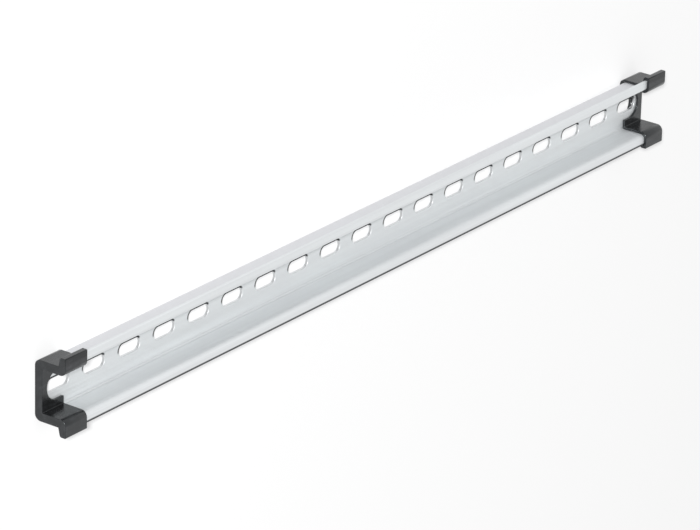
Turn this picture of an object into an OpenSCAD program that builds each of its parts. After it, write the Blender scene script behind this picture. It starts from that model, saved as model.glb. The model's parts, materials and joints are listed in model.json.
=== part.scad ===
// Slotted top-hat mounting rail, 35 x 15 mm in section, with a moulded cap pushed over each end.
// It lies on its back: the web is underneath and the open side faces up (+Z).
// X runs along the rail and Y across it. The origin is on the floor, under the middle of the rail.

/* [Rail] */
// Overall width of the rail, across its two flanges
rail_w = 35; // [32:0.5:45]
// Height of the rail, from the back of the web to the front of the flanges
rail_h = 15; // [11:0.5:25]
// Width of the channel, over the outside of its two arms
channel_w = 27; // [25.5:0.5:28]
// Thickness of the sheet
sheet_t = 1.5; // [1.2:0.1:1.8]
// Inside radius of the four bends
bend_r = 1; // [0.6:0.1:1.4]
// Rounding along the cut edges of the flanges
edge_r = 0.4; // [0.1:0.05:0.5]
// Length of the bare rail
rail_l = 472; // [150:1:1000]

/* [Slots] */
// Length of one slot, over its round ends
slot_l = 15; // [10:0.5:20]
// Width of one slot
slot_w = 6.2; // [4.5:0.1:8]
// Distance from one slot to the next
slot_pitch = 25; // [22:0.5:40]
// Least metal left between the last slot and the end of the rail
slot_end_web = 2; // [1:0.5:10]
// Radius of the roll-over that the punch leaves round the front of a slot
slot_roll = 0.3; // [0.1:0.05:0.5]

/* [End caps] */
// Length of a cap, with its end wall
cap_l = 15; // [14:0.5:20]
// Thickness of the end wall, which the end of the rail butts against
cap_end_t = 1.5; // [1:0.1:2.5]
// Thickness of the walls that follow the faces of the rail
cap_wall_t = 1.3; // [1:0.1:1.8]
// Clearance between a cap and the faces of the rail
cap_gap = 0.1; // [0.05:0.05:0.3]
// Rounding of the cap outside the bends of the rail
cap_bend_r = 3.2; // [2:0.1:3.6]
// Thickness of the lip beyond the edge of a flange
lip_t = 1.7; // [1:0.1:2.5]
// How much the lip thins on its back, from its root to its tip
lip_taper = 1; // [0.1:0.1:1.2]
// Rounding of the lip's tip on its back
lip_back_r = 1.2; // [0.5:0.1:1.4]
// Rounding of the lip's tip on its front
lip_front_r = 0.5; // [0.2:0.1:0.8]

/* [Cap notches] */
// Width of the notches in the web side of a cap, which leave the last slot free
notch_w = 14; // [9:0.5:16]
// Wall between the front notch and the outer end of a cap
notch_end = 3.5; // [3:0.5:6]
// Wall between the back notch and the outer end of a cap
back_notch_end = 6; // [3:0.5:7]

/* [Hidden] */
$fn = 64;

rail_color = [0.83, 0.85, 0.85];
cap_color = [0.22, 0.23, 0.24];

// How far a shape that cuts or joins runs past the face that it meets
lap = 0.5;

half_l = rail_l / 2;
slot_r = slot_w / 2;
slot_n = floor((rail_l - slot_l - 2 * slot_end_web) / slot_pitch) + 1;
cap_skin = cap_wall_t + cap_gap;
cap_outer_x = half_l + cap_end_t;
cap_inner_x = cap_outer_x - cap_l;
notch_r = notch_w / 2;

// Heights and half widths of a hat section that stands "grow" outside the faces of the sheet
function web_back(grow) = -grow;
function web_front(grow) = sheet_t + grow;
function flange_back(grow) = rail_h - sheet_t - grow;
function flange_front(grow) = rail_h + grow;
function arm_outer(grow) = channel_w / 2 + grow;
function arm_inner(grow) = channel_w / 2 - sheet_t - grow;

// Extrudes a section along X: its own x becomes Y and its own y becomes Z
module along_x(from, to) {
    translate([from, 0, 0])
        rotate([90, 0, 90])
            linear_extrude(to - from) children();
}

// What lies between a square corner at the origin and an arc of radius r set into it
module spandrel(r) {
    difference() {
        translate([-lap, -lap]) square(r + lap);
        translate([r, r]) circle(r);
    }
}

// A spandrel at a corner on each side of the centre line. It reaches outwards and up at a
// turn of 0, inwards and up at 90, inwards and down at 180, outwards and down at 270.
module corner_pair(x, y, turn, r) {
    for (side = [0, 1])
        mirror([side, 0])
            translate([x, y])
                rotate(turn) spandrel(r);
}

// A block from floor to top with its two lower corners rounded
module trough(half_w, floor_y, top_y, r) {
    difference() {
        translate([-half_w, floor_y]) square([2 * half_w, top_y - floor_y]);
        if (r > 0) corner_pair(half_w, floor_y, 90, r);
    }
}

// The hat: a channel with a flange turned out from the top of each arm
module hat_section(grow, reach, convex_r, concave_r) {
    difference() {
        union() {
            trough(arm_outer(grow), web_back(grow), flange_front(grow), convex_r);
            translate([-reach, flange_back(grow)])
                square([2 * reach, flange_front(grow) - flange_back(grow)]);
            if (concave_r > 0)
                corner_pair(arm_outer(grow), flange_back(grow), 270, concave_r);
        }
        trough(arm_inner(grow), web_front(grow), flange_front(grow) + lap, concave_r);
        corner_pair(arm_inner(grow), flange_front(grow), 270, convex_r);
    }
}

// Half of the section through a slot, from its centre line outwards, with the front of the
// web at y = 0 and the roll-over flaring out to it
module slot_half_section() {
    translate([0, -sheet_t - lap]) square([slot_r, sheet_t + 2 * lap]);
    translate([slot_r, 0]) rotate(270) spandrel(slot_roll);
}

// What the punch takes out: two round ends and the straight between them
module slot_cutter() {
    straight = slot_l - slot_w;
    for (end = [-1, 1])
        translate([end * straight / 2, 0, 0])
            rotate_extrude() slot_half_section();
    along_x(-straight / 2, straight / 2)
        for (side = [0, 1])
            mirror([side, 0]) slot_half_section();
}

// The sheet, rolled to the hat and punched with one row of slots down its web
module rail() {
    color(rail_color)
        translate([0, 0, cap_skin])
            difference() {
                along_x(-half_l, half_l)
                    difference() {
                        hat_section(0, rail_w / 2, bend_r + sheet_t, bend_r);
                        corner_pair(rail_w / 2, flange_front(0), 180, edge_r);
                        corner_pair(rail_w / 2, flange_back(0), 90, edge_r);
                    }
                for (i = [0 : slot_n - 1])
                    translate([(i - (slot_n - 1) / 2) * slot_pitch, 0, web_front(0)])
                        slot_cutter();
            }
}

// The lip of a cap round the edge of a flange. Its back slopes from the root to the tip and
// runs on into the tip's rounding.
module lip() {
    root_x = arm_outer(cap_skin);
    back_y = flange_back(cap_skin);
    front_y = flange_front(cap_skin);
    tip_x = rail_w / 2 + cap_gap + lip_t;
    slope = atan(lip_taper / (tip_x - root_x));
    round_x = tip_x - lip_back_r;
    round_y = back_y + (round_x - root_x) * tan(slope) + lip_back_r / cos(slope);
    difference() {
        union() {
            polygon([
                [root_x - lap, back_y],
                [root_x, back_y],
                [round_x + lip_back_r * sin(slope), round_y - lip_back_r * cos(slope)],
                [round_x, round_y],
                [tip_x, round_y],
                [tip_x, front_y],
                [root_x - lap, front_y]
            ]);
            translate([round_x, round_y]) circle(lip_back_r);
        }
        translate([tip_x, front_y]) rotate(180) spandrel(lip_front_r);
    }
}

// Outline of a cap: the hat one wall and its clearance larger, with sharp inner corners
module cap_section() {
    hat_section(cap_skin, arm_outer(cap_skin), cap_bend_r, 0);
    for (side = [0, 1])
        mirror([side, 0]) lip();
}

// A round-ended notch from the inner end of a cap to end_wall short of its outer end
module notch(end_wall, from_z, to_z) {
    round_x = cap_outer_x - end_wall - notch_r;
    translate([0, 0, from_z])
        linear_extrude(to_z - from_z) {
            translate([round_x, 0]) circle(notch_r);
            translate([cap_inner_x - lap, -notch_r])
                square([round_x - cap_inner_x + lap, notch_w]);
        }
}

// The cap at +X: a closed sleeve for the end of the rail, open over the last slot
module end_cap() {
    color(cap_color)
        translate([0, 0, cap_skin])
            difference() {
                along_x(cap_inner_x, cap_outer_x) cap_section();
                along_x(cap_inner_x - lap, half_l)
                    hat_section(cap_gap, rail_w / 2 + cap_gap,
                        bend_r + sheet_t + cap_gap, bend_r - cap_gap);
                notch(notch_end, sheet_t / 2, web_front(cap_skin) + lap);
                notch(back_notch_end, web_back(cap_skin) - lap, sheet_t / 2);
            }
}

module end_cap_right() end_cap();

module end_cap_left() mirror([1, 0, 0]) end_cap();

rail();
end_cap_left();
end_cap_right();
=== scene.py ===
"""A slotted top-hat mounting rail with a moulded cap on each end, on its back on a pale floor.

Lengths are in metres, in the frame of the CAD model: X along the rail, Y across it, Z up out of
the open side.
"""
import json
import math

import bpy
from mathutils import Matrix, Vector


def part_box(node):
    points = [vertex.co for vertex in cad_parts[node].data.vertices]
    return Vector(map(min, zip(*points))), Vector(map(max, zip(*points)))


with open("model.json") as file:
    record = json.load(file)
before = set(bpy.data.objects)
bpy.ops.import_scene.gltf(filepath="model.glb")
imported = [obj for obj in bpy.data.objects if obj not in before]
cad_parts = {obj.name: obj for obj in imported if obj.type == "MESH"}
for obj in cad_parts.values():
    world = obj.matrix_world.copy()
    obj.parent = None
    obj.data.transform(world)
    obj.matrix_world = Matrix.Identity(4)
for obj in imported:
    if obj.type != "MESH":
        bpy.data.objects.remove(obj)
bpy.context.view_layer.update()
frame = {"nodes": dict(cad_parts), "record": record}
scene = bpy.context.scene
scene.view_settings.view_transform = "Standard"


# ---- Camera ---------------------------------------------------------------------------------
# A long lens well back from one end of the rail. It is rolled on its side, so that the rail,
# which lies on its back here, is seen as it hangs on a panel: lengthwise, with its open side out.
CAMERA_AIM = Vector((-0.0172, -0.0089, 0.0089))
CAMERA_DISTANCE = 2.3385
CAMERA_AZIMUTH = math.radians(-117.67)
CAMERA_ELEVATION = math.radians(33.19)
CAMERA_ROLL = math.radians(107.55)
CAMERA_LENS = 252.9
CAMERA_SENSOR = 36.0
CAMERA_REACH = 20.0

camera = bpy.data.objects.new("camera", bpy.data.cameras.new("camera"))
scene.collection.objects.link(camera)
scene.camera = camera
camera.data.sensor_width = CAMERA_SENSOR
camera.data.lens = CAMERA_LENS
camera.data.clip_end = CAMERA_REACH
towards_camera = Vector((
    math.sin(CAMERA_AZIMUTH) * math.cos(CAMERA_ELEVATION),
    -math.cos(CAMERA_AZIMUTH) * math.cos(CAMERA_ELEVATION),
    math.sin(CAMERA_ELEVATION),
))
level_turn = (-towards_camera).to_track_quat("-Z", "Y").to_matrix()
camera.matrix_world = (
    Matrix.Translation(CAMERA_AIM + CAMERA_DISTANCE * towards_camera)
    @ (level_turn @ Matrix.Rotation(CAMERA_ROLL, 3, "Z")).to_4x4()
)


# ---- Studio: world light --------------------------------------------------------------------
# A white room with even light from every side. The camera, and whatever reflects the room, see
# it as plain white; as light it is weaker, which leaves part of the work to the lamp.
ROOM_LIGHT = 0.45
WHITE = (1.0, 1.0, 1.0, 1.0)


def empty_tree(owner):
    """The shader nodes of a material or a world, with nothing in them yet."""
    owner.use_nodes = True
    owner.node_tree.nodes.clear()
    return owner.node_tree


def give(tree, socket, value):
    """Joins the socket to value, where that is another node's socket, or else sets it."""
    if isinstance(value, bpy.types.NodeSocket):
        tree.links.new(value, socket)
    else:
        socket.default_value = value


def add(tree, kind, **values):
    """A new shader node of that kind. Values whose names are sockets are given to them, and the
    rest are the node's own settings."""
    made = tree.nodes.new(kind)
    for name, value in values.items():
        sockets = {socket.name.lower(): socket for socket in made.inputs if socket.enabled}
        socket = sockets.get(name.replace("_", " "))
        if socket is None:
            setattr(made, name, value)
        else:
            give(tree, socket, value)
    return made


def math_node(tree, operation, first, second=0.0):
    """first and second put together by a Math node; returns its result."""
    made = add(tree, "ShaderNodeMath", operation=operation)
    for socket, value in zip(made.inputs, (first, second)):
        give(tree, socket, value)
    return made.outputs[0]


def seen_share(tree):
    """1 for what is seen, straight on, in a reflection or through glass, and 0 for light."""
    paths = add(tree, "ShaderNodeLightPath").outputs
    seen = math_node(tree, "MAXIMUM", paths["Is Camera Ray"], paths["Is Glossy Ray"])
    return math_node(tree, "MAXIMUM", seen, paths["Is Transmission Ray"])


def mixed_shaders(tree, share, first, second):
    """The first shader, going over to the second by the share."""
    made = add(tree, "ShaderNodeMixShader")
    for socket, value in zip(made.inputs, (share, first, second)):
        give(tree, socket, value)
    return made.outputs[0]


scene.world = bpy.data.worlds.new("studio")
tree = empty_tree(scene.world)
room_light = add(tree, "ShaderNodeBackground", color=WHITE, strength=ROOM_LIGHT).outputs[0]
backdrop = add(tree, "ShaderNodeBackground", color=WHITE, strength=1.0).outputs[0]
add(tree, "ShaderNodeOutputWorld",
    surface=mixed_shaders(tree, seen_share(tree), room_light, backdrop))


# ---- Studio: floor --------------------------------------------------------------------------
# A sheet of white paper under the rail, a hair below the backs of the caps. A part of what is
# seen of it is its own white, so that it reads as a white ground with a faint shadow on it.
FLOOR_HALF = 3.0
FLOOR_DROP = 0.00005
PAPER_WHITE = (0.90, 0.90, 0.90, 1.0)
PAPER_GLOW = 0.42

floor_mesh = bpy.data.meshes.new("floor")
floor_mesh.from_pydata(
    [(side_x * FLOOR_HALF, side_y * FLOOR_HALF, -FLOOR_DROP)
     for side_x, side_y in ((-1, -1), (1, -1), (1, 1), (-1, 1))],
    [], [(0, 1, 2, 3)])
floor = bpy.data.objects.new("floor", floor_mesh)
scene.collection.objects.link(floor)

paper = bpy.data.materials.new("white_paper")
tree = empty_tree(paper)
lit = add(tree, "ShaderNodeBsdfDiffuse", color=PAPER_WHITE).outputs[0]
glow = add(tree, "ShaderNodeEmission", color=WHITE, strength=1.0).outputs[0]
glow_share = math_node(tree, "MULTIPLY", seen_share(tree), PAPER_GLOW)
add(tree, "ShaderNodeOutputMaterial", surface=mixed_shaders(tree, glow_share, lit, glow))
paper.cycles.emission_sampling = "NONE"
floor_mesh.materials.append(paper)


# ---- Studio: lamp ---------------------------------------------------------------------------
# One soft box beside the lens, a little higher and farther out, so that each edge throws only a
# narrow shadow on the paper.
LAMP_DISTANCE = 4.0
LAMP_SIDE = Vector((-0.20, 0.14, 0.0))
LAMP_SIZE = 0.34
LAMP_ENERGY = 222.0

lamp = bpy.data.objects.new("soft_box", bpy.data.lights.new("soft_box", "AREA"))
scene.collection.objects.link(lamp)
lamp.data.shape = "DISK"
lamp.data.size = LAMP_SIZE
lamp.data.energy = LAMP_ENERGY
lamp_place = CAMERA_AIM + LAMP_DISTANCE * towards_camera + LAMP_SIDE
lamp.matrix_world = (
    Matrix.Translation(lamp_place)
    @ (lamp_place - CAMERA_AIM).to_track_quat("Z", "Y").to_matrix().to_4x4()
)


# ---- The rail -------------------------------------------------------------------------------
# A strip of sheet steel, roll-formed to a top hat and punched with a row of slots. It is
# zinc-plated and passivated: pale grey and satin, with fine lines that the rolls left along it.
ZINC_PALE = (0.69, 0.709, 0.717, 1.0)
ZINC_DEEP = (0.656, 0.674, 0.682, 1.0)
# Lilac: random mottle in the plating, and a painted tint of reflected light on the outsides of the
# arms
ZINC_LILAC_MOTTLE_AND_REFLECTION = (0.625, 0.626, 0.645, 1.0)
ZINC_BURNISHED = (0.70, 0.712, 0.72, 1.0)
# Dark grey that is painted on as shade and shadow in the marks below
ZINC_PAINTED_SHADE = (0.045, 0.047, 0.05, 1.0)
ZINC_ROUGHNESS = (0.64, 0.74)
BURNISHED_SMOOTHER = 0.33

# Noise: its scales, and the two values that are drawn apart to 0 and 1
FINE_LINES = {"Along": 5.0, "Across": 900.0}
BROAD_LINES = {"Along": 2.0, "Across": 180.0}
ZINC_CLOUDS = {"Clouds": 38.0, "Specks": 3200.0}
LINE_CONTRAST = (0.32, 0.68)
CLOUD_CONTRAST = (0.35, 0.65)
SPECK_CONTRAST = (0.30, 0.70)

# How strongly each part of the finish shows, from 0 to 1
LINE_TO_GRAIN = (0.6, 0.4)
BROAD_LINE_HEIGHT = 0.8
GRAIN_HEIGHT = 0.3
MOTTLE_SHARE = 0.15
# The five shares below are of a painted tint of reflected light and of painted shade
ARM_REFLECTION_TINT_SHARE = 0.8
BEND_PAINTED_SHADE_SHARE = 0.08
ROLL_OVER_PAINTED_SHADE_SHARE = 0.05
X_END_PAINTED_SHADE_SHARE = 0.26
LOW_EDGE_SHADOW_SHARE = 0.95

# The sizes that the finish follows
ARM_OUTER = 0.0135
rail_low, rail_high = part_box("rail")
mounts = {mount["name"]: mount["dims"] for mount in frame["record"]["mounts"]}
last_slots, next_slots = mounts["slots_1_and_19"], mounts["slots_2_and_18"]
slot_pitch = (last_slots["spacing_x_mm"] - next_slots["spacing_x_mm"]) / 2 / 1000
slot_radius = last_slots["hole_r_mm"] / 1000
slot_straight = last_slots["slot_length_mm"] / 1000 - 2 * slot_radius

# Where one part of the finish goes over into another, from and to. A turn says how squarely the
# rim of a slot faces one way: 1 is straight that way, and 0 is across it.
SLOT_WALL = (slot_radius + 0.00002, slot_radius + 0.00006)
ROLL_OVER = (slot_radius + 0.00028, slot_radius + 0.00042)
# Painted shadow round the +Y rims of the slots: where it fades out, and which way it faces
PAINTED_SHADOW_RIM = (slot_radius + 0.00072, slot_radius + 0.0012)
PAINTED_SHADOW_RIM_FACES = (-0.42, 0.91, 0.0)
PAINTED_SHADOW_RIM_TURN = (0.1, 0.5)
X_END_SHADE_TURN = (0.3, 0.8)
# Painted shadow along the front corner of the flange at -Y
LOW_EDGE_SHADOW_ACROSS = (rail_low.y + 0.00084, rail_low.y + 0.0014)
LOW_EDGE_SHADOW_HEIGHT = (rail_high.z - 0.0007, rail_high.z - 0.0003)
# Painted tint of reflected light on the outsides of the arms: where it starts and ends
ARM_OUTSIDE = (ARM_OUTER - 0.0005, ARM_OUTER - 0.0001)
ARM_HEIGHT = (rail_high.z - 0.0029, rail_high.z - 0.0019)
# Painted shade in the inside corners between web and arms: where it starts and ends
BEND_NEAR = (ARM_OUTER - 0.0031, ARM_OUTER - 0.0022)
BEND_FAR = (ARM_OUTER - 0.0013, ARM_OUTER - 0.0007)
BEND_HEIGHT = (rail_low.z + 0.0022, rail_low.z + 0.0032)


def node_group(name, inputs, outputs):
    """An empty shader node group with the named inputs and float outputs. inputs says which kind
    of socket each one is."""
    group = bpy.data.node_groups.new(name, "ShaderNodeTree")
    for title, kind in inputs.items():
        group.interface.new_socket(title, in_out="INPUT", socket_type=kind)
    for title in outputs:
        group.interface.new_socket(title, in_out="OUTPUT", socket_type="NodeSocketFloat")
    given = group.nodes.new("NodeGroupInput").outputs
    result = group.nodes.new("NodeGroupOutput").inputs
    return group, given, result


def placed(tree, group, **values):
    """The group placed in a material with its own values; returns its outputs."""
    made = add(tree, "ShaderNodeGroup", node_tree=group)
    for name, value in values.items():
        give(tree, made.inputs[name], value)
    return made.outputs


def ramp(tree, value, low, high, to_low=0.0, to_high=1.0):
    """value, carried smoothly from to_low at low to to_high at high, and held beyond."""
    return add(tree, "ShaderNodeMapRange", value=value, from_min=low, from_max=high,
               to_min=to_low, to_max=to_high, interpolation_type="SMOOTHSTEP").outputs[0]


def times(tree, first, second):
    """The product of two values."""
    return math_node(tree, "MULTIPLY", first, second)


def weighed(tree, first, second, weights):
    """The sum of two values, each times its weight."""
    return math_node(tree, "ADD", times(tree, first, weights[0]), times(tree, second, weights[1]))


def vector_node(tree, operation, *vectors):
    """The vectors put through a Vector Math node; returns its outputs."""
    made = add(tree, "ShaderNodeVectorMath", operation=operation)
    for socket, value in zip(made.inputs, vectors):
        give(tree, socket, value)
    return made.outputs


def mixed(tree, share, first, second):
    """The first colour, going over to the second by the share."""
    made = add(tree, "ShaderNodeMix", data_type="RGBA")
    sockets = [socket for socket in made.inputs if socket.enabled]
    for socket, value in zip(sockets, (share, first, second)):
        give(tree, socket, value)
    return next(socket for socket in made.outputs if socket.enabled)


def parts(tree, vector):
    """The X, Y and Z of a vector."""
    return add(tree, "ShaderNodeSeparateXYZ", vector=vector).outputs


# Fine lines along X: noise that is stretched that way. Rolls leave them, and so does a mould.
drawn_lines, given, result = node_group(
    "drawn_lines",
    {"Place": "NodeSocketVector", "Along": "NodeSocketFloat", "Across": "NodeSocketFloat"},
    ["Lines"])
stretch = add(drawn_lines, "ShaderNodeCombineXYZ",
              x=given["Along"], y=given["Across"], z=given["Across"]).outputs[0]
stretched = vector_node(drawn_lines, "MULTIPLY", given["Place"], stretch)[0]
streaks = add(drawn_lines, "ShaderNodeTexNoise", vector=stretched, scale=1.0, detail=4.0,
              roughness=0.65).outputs[0]
give(drawn_lines, result["Lines"], ramp(drawn_lines, streaks, *LINE_CONTRAST))

# Mottle: soft clouds, and grain: fine specks. Each has its own scale.
mottle_and_grain, given, result = node_group(
    "mottle_and_grain",
    {"Place": "NodeSocketVector", "Clouds": "NodeSocketFloat", "Specks": "NodeSocketFloat"},
    ["Mottle", "Grain"])
clouds = add(mottle_and_grain, "ShaderNodeTexNoise", vector=given["Place"],
             scale=given["Clouds"], detail=3.0, roughness=0.55).outputs[0]
specks = add(mottle_and_grain, "ShaderNodeTexNoise", vector=given["Place"],
             scale=given["Specks"], detail=3.0, roughness=0.6).outputs[0]
give(mottle_and_grain, result["Mottle"], ramp(mottle_and_grain, clouds, *CLOUD_CONTRAST))
give(mottle_and_grain, result["Grain"], ramp(mottle_and_grain, specks, *SPECK_CONTRAST))

zinc = bpy.data.materials.new("passivated_zinc")
tree = empty_tree(zinc)
place = add(tree, "ShaderNodeTexCoord").outputs["Object"]
spot = parts(tree, place)
off_centre = math_node(tree, "ABSOLUTE", spot["Y"])
lines = placed(tree, drawn_lines, Place=place, **FINE_LINES)["Lines"]
broad_lines = placed(tree, drawn_lines, Place=place, **BROAD_LINES)["Lines"]
clouds = placed(tree, mottle_and_grain, Place=place, **ZINC_CLOUDS)

# How far a point of the web lies from the middle line of the nearest slot, and which way
slot_number = math_node(tree, "ROUND", math_node(tree, "DIVIDE", spot["X"], slot_pitch))
along = math_node(tree, "SUBTRACT", spot["X"], times(tree, slot_pitch, slot_number))
beyond = math_node(tree, "SUBTRACT", math_node(tree, "ABSOLUTE", along), slot_straight / 2)
beyond = math_node(tree, "MAXIMUM", beyond, 0.0)
beyond = times(tree, beyond, math_node(tree, "SIGN", along))
from_slot = add(tree, "ShaderNodeCombineXYZ", x=beyond, y=spot["Y"]).outputs[0]
distance = vector_node(tree, "LENGTH", from_slot)["Value"]
direction = vector_node(tree, "NORMALIZE", from_slot)["Vector"]

# Painted shadow: thin dark lines painted round the rims of the slots on their +Y side, and along
# the front corner of the flange at -Y, where the edges throw narrow shadows.
rim_shadow_turn = vector_node(tree, "DOT_PRODUCT", direction, PAINTED_SHADOW_RIM_FACES)["Value"]
rim_shadow = times(tree, ramp(tree, distance, *PAINTED_SHADOW_RIM, 1.0, 0.0), ramp(tree, rim_shadow_turn, *PAINTED_SHADOW_RIM_TURN))
low_edge_shadow = times(tree, ramp(tree, spot["Y"], *LOW_EDGE_SHADOW_ACROSS, LOW_EDGE_SHADOW_SHARE, 0.0),
                 ramp(tree, spot["Z"], *LOW_EDGE_SHADOW_HEIGHT))
painted_shadow_lines = math_node(tree, "MAXIMUM", rim_shadow, low_edge_shadow)

# The punch burnished the walls of the slots: they are smoother than the rolled faces. At the +X
# end of a slot, its wall and the roll-over in front of it get painted shade.
in_slot = ramp(tree, distance, *SLOT_WALL, 1.0, 0.0)
x_end_shade = ramp(tree, parts(tree, direction)["X"], *X_END_SHADE_TURN)
rolled_over_shade = times(tree, x_end_shade, ramp(tree, distance, *ROLL_OVER, 1.0, 0.0))

# The outsides of the arms get a painted lilac tint that stands in for the colour of the light they
# reflect. The inside corners between web and arms are a little darker with painted shade.
arm_reflection_tint = times(tree, ramp(tree, off_centre, *ARM_OUTSIDE),
                    ramp(tree, spot["Z"], *ARM_HEIGHT, 1.0, 0.0))
inner_bend_shade = times(tree, ramp(tree, off_centre, *BEND_NEAR),
                   ramp(tree, spot["Z"], *BEND_HEIGHT, 1.0, 0.0))
inner_bend_shade = times(tree, inner_bend_shade, ramp(tree, off_centre, *BEND_FAR, 1.0, 0.0))

colour = mixed(tree, lines, ZINC_DEEP, ZINC_PALE)
colour = mixed(tree, times(tree, clouds["Mottle"], MOTTLE_SHARE), colour, ZINC_LILAC_MOTTLE_AND_REFLECTION)
# Painted tint of reflected light on the outsides of the arms
colour = mixed(tree, times(tree, arm_reflection_tint, ARM_REFLECTION_TINT_SHARE), colour, ZINC_LILAC_MOTTLE_AND_REFLECTION)
# Painted shade in the inside corners between web and arms
colour = mixed(tree, times(tree, inner_bend_shade, BEND_PAINTED_SHADE_SHARE), colour, ZINC_PAINTED_SHADE)
# Painted shade on the roll-over at the +X end of each slot
colour = mixed(tree, times(tree, rolled_over_shade, ROLL_OVER_PAINTED_SHADE_SHARE), colour, ZINC_PAINTED_SHADE)
# Painted shadow lines at the slot rims and along the flange's front corner
colour = mixed(tree, painted_shadow_lines, colour, ZINC_PAINTED_SHADE)
# Painted shade on the slot wall at its +X end
wall_colour = mixed(tree, times(tree, x_end_shade, X_END_PAINTED_SHADE_SHARE), ZINC_BURNISHED, ZINC_PAINTED_SHADE)
colour = mixed(tree, in_slot, colour, wall_colour)
rough = ramp(tree, weighed(tree, lines, clouds["Grain"], LINE_TO_GRAIN), 0.0, 1.0, *ZINC_ROUGHNESS)
rough = math_node(tree, "SUBTRACT", rough, times(tree, in_slot, BURNISHED_SMOOTHER))
height = weighed(tree, broad_lines, clouds["Grain"], (BROAD_LINE_HEIGHT, GRAIN_HEIGHT))
height = math_node(tree, "ADD", lines, height)
bump = add(tree, "ShaderNodeBump", height=height, strength=0.12, distance=0.0001).outputs[0]
finish = add(tree, "ShaderNodeBsdfPrincipled", metallic=1.0, base_color=colour, roughness=rough,
             normal=bump).outputs[0]
add(tree, "ShaderNodeOutputMaterial", surface=finish)
rail = frame["nodes"]["rail"]
rail.data.materials.clear()
rail.data.materials.append(zinc)


# ---- The end caps ---------------------------------------------------------------------------
# Two mirror-image caps injection-moulded in black plastic and pushed over the ends of the rail.
# The polished mould left them fairly glossy, with faint draw lines along X and softened edges.
# The front of the lip at +Y, which fingers push on, is worn to less of a shine.
CAP_NAMES = ("end_cap_left", "end_cap_right")
CAP_BLACK = (0.003, 0.0031, 0.0034, 1.0)
CAP_SCUFFED = (0.025, 0.026, 0.029, 1.0)
CAP_GLINT = (0.92, 0.97, 1.0, 1.0)
CAP_IOR = 1.55
CAP_ROUGHNESS = (0.11, 0.24)
CAP_LINES = {"Along": 60.0, "Across": 1500.0}
CAP_SCUFFS = {"Along": 45.0, "Across": 420.0}
CAP_CLOUDS = {"Clouds": 220.0, "Specks": 5000.0}
CAP_LINE_HEIGHT = 0.6
CAP_SCUFF_HEIGHT = 2.0

# The plastic's shine, whole and worn, and where the worn front of the lip starts
CAP_SHINE = (0.5, 0.36)
cap_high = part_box(CAP_NAMES[0])[1]
LIP_ACROSS = (cap_high.y - 0.0033, cap_high.y - 0.0027)
LIP_FRONT = (cap_high.z - 0.0008, cap_high.z - 0.0004)

# The radius of the moulded edges, and what it takes to round them: points closer than the weld
# are one, faces within the flat angle are one, and corners past the sharp angle are rounded.
CAP_EDGE_RADIUS = 0.00025
CAP_EDGE_STEPS = 3
WELD_DISTANCE = 0.000002
FLAT_ANGLE = math.radians(1)
SHARP_ANGLE = math.radians(35)

plastic = bpy.data.materials.new("black_plastic")
tree = empty_tree(plastic)
place = add(tree, "ShaderNodeTexCoord").outputs["Object"]
spot = parts(tree, place)
lines = placed(tree, drawn_lines, Place=place, **CAP_LINES)["Lines"]
scuffs = placed(tree, drawn_lines, Place=place, **CAP_SCUFFS)["Lines"]
clouds = placed(tree, mottle_and_grain, Place=place, **CAP_CLOUDS)
worn = times(tree, scuffs, times(tree, lines, clouds["Mottle"]))
colour = mixed(tree, worn, CAP_BLACK, CAP_SCUFFED)
rough = ramp(tree, weighed(tree, scuffs, clouds["Grain"], LINE_TO_GRAIN), 0.0, 1.0, *CAP_ROUGHNESS)
height = weighed(tree, lines, scuffs, (CAP_LINE_HEIGHT, CAP_SCUFF_HEIGHT))
height = math_node(tree, "ADD", height, clouds["Grain"])
bump = add(tree, "ShaderNodeBump", height=height, strength=0.10, distance=0.0001).outputs[0]
lip = times(tree, ramp(tree, spot["Y"], *LIP_ACROSS), ramp(tree, spot["Z"], *LIP_FRONT))
finish = add(tree, "ShaderNodeBsdfPrincipled", base_color=colour, roughness=rough, ior=CAP_IOR,
             specular_ior_level=ramp(tree, lip, 0.0, 1.0, *CAP_SHINE), specular_tint=CAP_GLINT,
             normal=bump).outputs[0]
add(tree, "ShaderNodeOutputMaterial", surface=finish)

for name in CAP_NAMES:
    cap = frame["nodes"][name]
    cap.data.materials.clear()
    cap.data.materials.append(plastic)
    weld = cap.modifiers.new("weld", "WELD")
    weld.merge_threshold = WELD_DISTANCE
    faces = cap.modifiers.new("faces", "DECIMATE")
    faces.decimate_type = "DISSOLVE"
    faces.angle_limit = FLAT_ANGLE
    edges = cap.modifiers.new("edges", "BEVEL")
    edges.width = CAP_EDGE_RADIUS
    edges.segments = CAP_EDGE_STEPS
    edges.limit_method = "ANGLE"
    edges.angle_limit = SHARP_ANGLE
    edges.use_clamp_overlap = False
    edges.harden_normals = True
